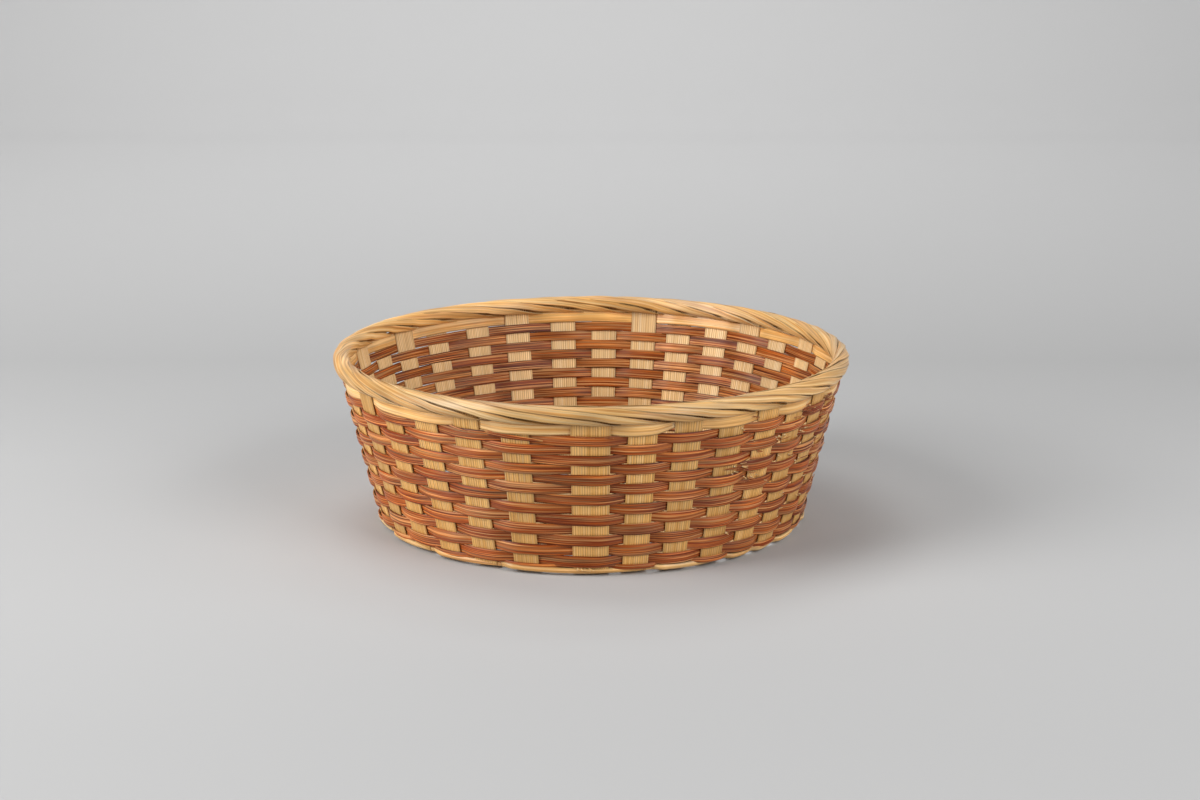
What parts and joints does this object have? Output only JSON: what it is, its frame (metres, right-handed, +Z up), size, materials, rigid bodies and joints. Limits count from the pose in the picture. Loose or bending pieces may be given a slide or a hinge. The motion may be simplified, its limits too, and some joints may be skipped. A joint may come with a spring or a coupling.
{
  "type": "woven berry basket",
  "caption": "Round shallow berry basket of flat bamboo splints, with flaring woven walls and a rolled rim of winding strands.",
  "frame": {"origin": "middle of the basket at the plane that it stands on", "axes": "+Z up along the basket's axis, -Y towards the wide stake at the front, +X to the right seen from the front"},
  "size_m": [0.2504, 0.2503, 0.0841],
  "materials": {
    "pale_bamboo": "satin, ribbed lengthwise",
    "brown_bamboo": "stained, satin, streaked lengthwise",
    "rim_bamboo": "satin, smooth"
  },
  "bodies": {
    "root": {"splint_01": "pale_bamboo", "splint_02": "pale_bamboo", "splint_03": "pale_bamboo", "splint_04": "pale_bamboo", "splint_05": "pale_bamboo", "splint_06": "pale_bamboo", "splint_07": "pale_bamboo", "splint_08": "pale_bamboo", "splint_09": "pale_bamboo", "splint_10": "pale_bamboo", "splint_11": "pale_bamboo", "splint_12": "pale_bamboo", "splint_13": "pale_bamboo", "splint_14": "pale_bamboo", "splint_15": "pale_bamboo", "splint_16": "pale_bamboo", "splint_17": "pale_bamboo", "rim_hoop_outer": "pale_bamboo", "rim_hoop_inner": "pale_bamboo", "base_weaver": "pale_bamboo", "weaver_01": "brown_bamboo", "weaver_02": "brown_bamboo", "weaver_03": "brown_bamboo", "weaver_04": "brown_bamboo", "weaver_05": "brown_bamboo", "weaver_06": "brown_bamboo", "weaver_07": "brown_bamboo", "weaver_08": "brown_bamboo", "weaver_09": "brown_bamboo", "weaver_10": "brown_bamboo", "weaver_11": "brown_bamboo", "weaver_12": "brown_bamboo", "weaver_13": "brown_bamboo", "weaver_14": "brown_bamboo", "rim_strand_1": "rim_bamboo", "rim_strand_2": "rim_bamboo", "rim_strand_3": "rim_bamboo", "rim_strand_4": "rim_bamboo", "rim_strand_5": "rim_bamboo", "rim_strand_6": "rim_bamboo", "foot_strand_1": "rim_bamboo", "foot_strand_2": "rim_bamboo", "collar_weaver": "rim_bamboo"}
  },
  "joints": []
}
